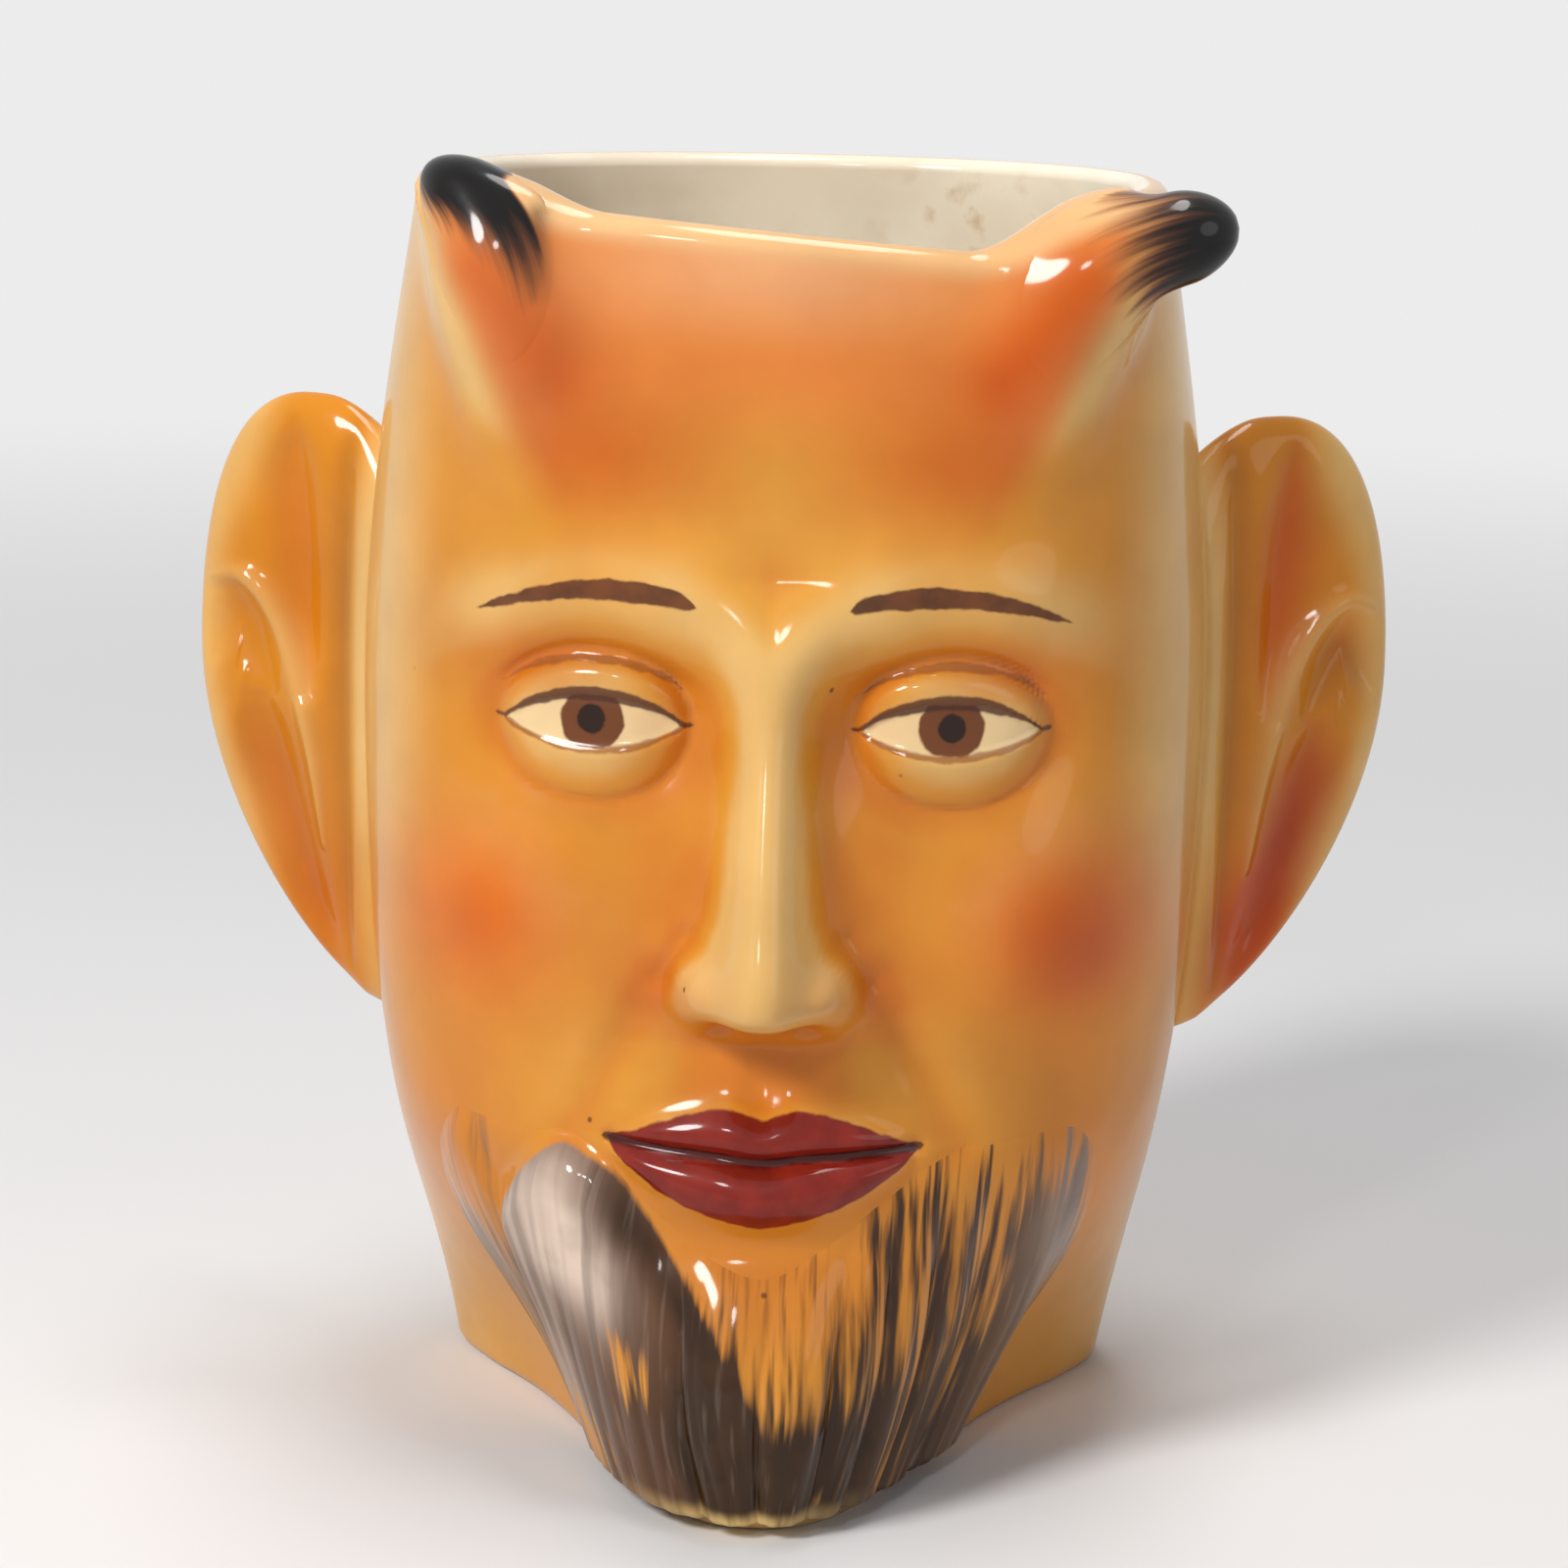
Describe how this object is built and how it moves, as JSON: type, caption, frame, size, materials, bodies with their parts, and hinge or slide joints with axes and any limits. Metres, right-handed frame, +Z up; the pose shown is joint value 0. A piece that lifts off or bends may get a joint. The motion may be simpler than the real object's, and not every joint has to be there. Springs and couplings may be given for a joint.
{
  "type": "character jug",
  "caption": "Small glazed porcelain jug in the shape of a horned, bearded head, open at the top, with large ears and a loop handle behind.",
  "frame": {"origin": "on the table, at the middle of the jug's outer box", "axes": "+Z up; the face looks along -Y and the handle is at +Y; the ears are at -X and +X"},
  "size_m": [0.0956, 0.0926, 0.0992],
  "materials": {
    "amber_glaze": "porcelain, airbrushed amber under a clear gloss glaze, cream inside",
    "beard_glaze": "porcelain, grey-brown brushed strands under a clear gloss glaze",
    "horn_glaze": "porcelain, brown running to black at the tips under a clear gloss glaze",
    "ear_glaze": "porcelain, airbrushed orange under a clear gloss glaze",
    "handle_glaze": "porcelain, airbrushed amber to brown under a clear gloss glaze"
  },
  "bodies": {
    "root": {"head_shell": "amber_glaze", "beard": "beard_glaze", "horn_left": "horn_glaze", "horn_right": "horn_glaze", "ear_left": "ear_glaze", "ear_right": "ear_glaze", "handle": "handle_glaze"}
  },
  "joints": []
}
